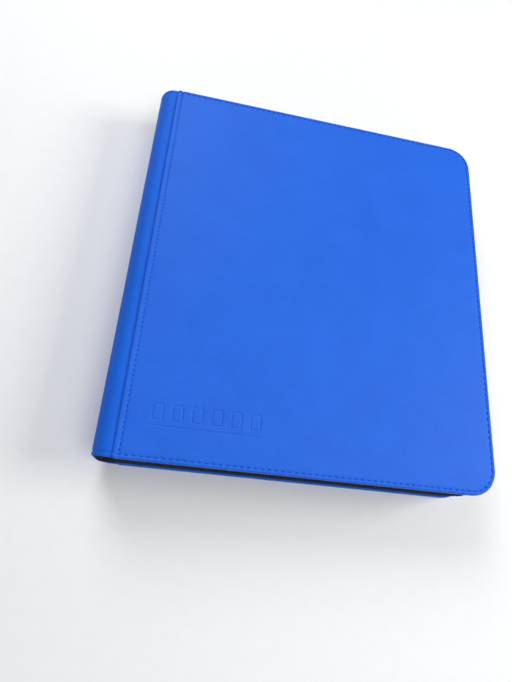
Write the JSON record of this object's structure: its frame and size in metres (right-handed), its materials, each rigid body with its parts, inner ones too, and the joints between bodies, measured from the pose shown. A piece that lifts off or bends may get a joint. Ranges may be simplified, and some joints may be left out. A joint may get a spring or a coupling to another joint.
{
  "type": "trading card binder",
  "caption": "Zip-around padded binder with rounded fore-edge corners, a square folding spine and side-loading clear pocket leaves for trading cards.",
  "frame": {"origin": "middle of the back cover's outer face, on the surface that the closed binder lies on", "axes": "+X from the spine to the fore-edge, +Y from the tail (bottom edge) to the head (top edge), +Z from the back cover up to the front cover"},
  "size_m": [0.24, 0.2645, 0.04],
  "materials": {
    "blue_leather": "cobalt blue PU leather with a very fine grain, semi-matt",
    "foam": "thin soft foam sheet",
    "greyboard": "pressed grey binder's board",
    "black_lining": "fine black woven lining cloth",
    "zipper_tape": "black herringbone-woven polyester zipper tape",
    "zipper_coil": "black nylon coil with a dull sheen",
    "zipper_metal": "black lacquered die-cast metal",
    "page_sheet": "black polypropylene sheet with a fine matt texture",
    "clear_film": "clear soft polypropylene film, glossy"
  },
  "bodies": {
    "back_cover": {"back_outer_skin": "blue_leather", "back_foam_pad": "foam", "back_board": "greyboard", "back_lining": "black_lining", "back_spine_wrap": "blue_leather", "back_zipper_tape": "zipper_tape", "back_zipper_teeth": "zipper_coil", "back_bottom_stop": "zipper_metal", "back_top_stop": "zipper_metal"},
    "spine": {"spine_wrap": "blue_leather", "spine_foam_pad": "foam", "spine_board": "greyboard", "spine_lining": "black_lining", "page_binding_strip": "page_sheet"},
    "front_cover": {"front_outer_skin": "blue_leather", "front_foam_pad": "foam", "front_board": "greyboard", "front_lining": "black_lining", "front_spine_wrap": "blue_leather", "front_zipper_tape": "zipper_tape", "front_zipper_teeth": "zipper_coil", "front_bottom_stop": "zipper_metal", "front_top_stop": "zipper_metal"},
    "slider": {"zipper_slider": "zipper_metal"},
    "pull": {"zipper_pull": "zipper_metal"},
    "leaf_01": {"leaf_01_backing": "page_sheet", "leaf_01_upper_pockets": "clear_film", "leaf_01_lower_pockets": "clear_film"},
    "leaf_02": {"leaf_02_backing": "page_sheet", "leaf_02_upper_pockets": "clear_film", "leaf_02_lower_pockets": "clear_film"},
    "leaf_03": {"leaf_03_backing": "page_sheet", "leaf_03_upper_pockets": "clear_film", "leaf_03_lower_pockets": "clear_film"},
    "leaf_04": {"leaf_04_backing": "page_sheet", "leaf_04_upper_pockets": "clear_film", "leaf_04_lower_pockets": "clear_film"},
    "leaf_05": {"leaf_05_backing": "page_sheet", "leaf_05_upper_pockets": "clear_film", "leaf_05_lower_pockets": "clear_film"},
    "leaf_06": {"leaf_06_backing": "page_sheet", "leaf_06_upper_pockets": "clear_film", "leaf_06_lower_pockets": "clear_film"},
    "leaf_07": {"leaf_07_backing": "page_sheet", "leaf_07_upper_pockets": "clear_film", "leaf_07_lower_pockets": "clear_film"},
    "leaf_08": {"leaf_08_backing": "page_sheet", "leaf_08_upper_pockets": "clear_film", "leaf_08_lower_pockets": "clear_film"},
    "leaf_09": {"leaf_09_backing": "page_sheet", "leaf_09_upper_pockets": "clear_film", "leaf_09_lower_pockets": "clear_film"},
    "leaf_10": {"leaf_10_backing": "page_sheet", "leaf_10_upper_pockets": "clear_film", "leaf_10_lower_pockets": "clear_film"}
  },
  "joints": [
    {"name": "front_cover_open", "type": "hinge", "parent": "spine", "child": "front_cover", "pos_m": [-0.118, 0, 0.037], "axis": [0, -1, 0], "range_deg": [0, 90]},
    {"name": "spine_fold", "type": "hinge", "parent": "back_cover", "child": "spine", "pos_m": [-0.118, 0, 0.003], "axis": [0, -1, 0], "range_deg": [0, 90]},
    {"name": "slider_run", "type": "slide", "parent": "back_cover", "child": "slider", "axis": [1, 0, 0], "range_m": [0, 0.202]},
    {"name": "pull_swing", "type": "hinge", "parent": "slider", "child": "pull", "pos_m": [-0.1047, 0.13235, 0.02], "axis": [0, 0, 1], "range_deg": [0, 180]},
    {"name": "leaf_01_turn", "type": "hinge", "parent": "spine", "child": "leaf_01", "pos_m": [-0.1132, 0, 0.0074], "axis": [0, -1, 0], "range_deg": [-88.5, 0]},
    {"name": "leaf_02_turn", "type": "hinge", "parent": "spine", "child": "leaf_02", "pos_m": [-0.1132, 0, 0.0102], "axis": [0, -1, 0], "range_deg": [-72, 0]},
    {"name": "leaf_03_turn", "type": "hinge", "parent": "spine", "child": "leaf_03", "pos_m": [-0.1132, 0, 0.013], "axis": [0, -1, 0], "range_deg": [-67.5, 0]},
    {"name": "leaf_04_turn", "type": "hinge", "parent": "spine", "child": "leaf_04", "pos_m": [-0.1132, 0, 0.0158], "axis": [0, -1, 0], "range_deg": [-63, 0]},
    {"name": "leaf_05_turn", "type": "hinge", "parent": "spine", "child": "leaf_05", "pos_m": [-0.1132, 0, 0.0186], "axis": [0, -1, 0], "range_deg": [-58.5, 0]},
    {"name": "leaf_06_turn", "type": "hinge", "parent": "spine", "child": "leaf_06", "pos_m": [-0.1132, 0, 0.0214], "axis": [0, -1, 0], "range_deg": [0, 58.5]},
    {"name": "leaf_07_turn", "type": "hinge", "parent": "spine", "child": "leaf_07", "pos_m": [-0.1132, 0, 0.0242], "axis": [0, -1, 0], "range_deg": [0, 63]},
    {"name": "leaf_08_turn", "type": "hinge", "parent": "spine", "child": "leaf_08", "pos_m": [-0.1132, 0, 0.027], "axis": [0, -1, 0], "range_deg": [0, 67.5]},
    {"name": "leaf_09_turn", "type": "hinge", "parent": "spine", "child": "leaf_09", "pos_m": [-0.1132, 0, 0.0298], "axis": [0, -1, 0], "range_deg": [0, 72]},
    {"name": "leaf_10_turn", "type": "hinge", "parent": "spine", "child": "leaf_10", "pos_m": [-0.1132, 0, 0.0326], "axis": [0, -1, 0], "range_deg": [0, 88.5]}
  ],
  "couplings": [
    {"joint": "spine_fold", "follows": "front_cover_open", "ratio": 1},
    {"joint": "leaf_01_turn", "follows": "front_cover_open", "ratio": -0.98333},
    {"joint": "leaf_02_turn", "follows": "front_cover_open", "ratio": -0.8},
    {"joint": "leaf_03_turn", "follows": "front_cover_open", "ratio": -0.75},
    {"joint": "leaf_04_turn", "follows": "front_cover_open", "ratio": -0.7},
    {"joint": "leaf_05_turn", "follows": "front_cover_open", "ratio": -0.65},
    {"joint": "leaf_06_turn", "follows": "front_cover_open", "ratio": 0.65},
    {"joint": "leaf_07_turn", "follows": "front_cover_open", "ratio": 0.7},
    {"joint": "leaf_08_turn", "follows": "front_cover_open", "ratio": 0.75},
    {"joint": "leaf_09_turn", "follows": "front_cover_open", "ratio": 0.8},
    {"joint": "leaf_10_turn", "follows": "front_cover_open", "ratio": 0.98333}
  ]
}
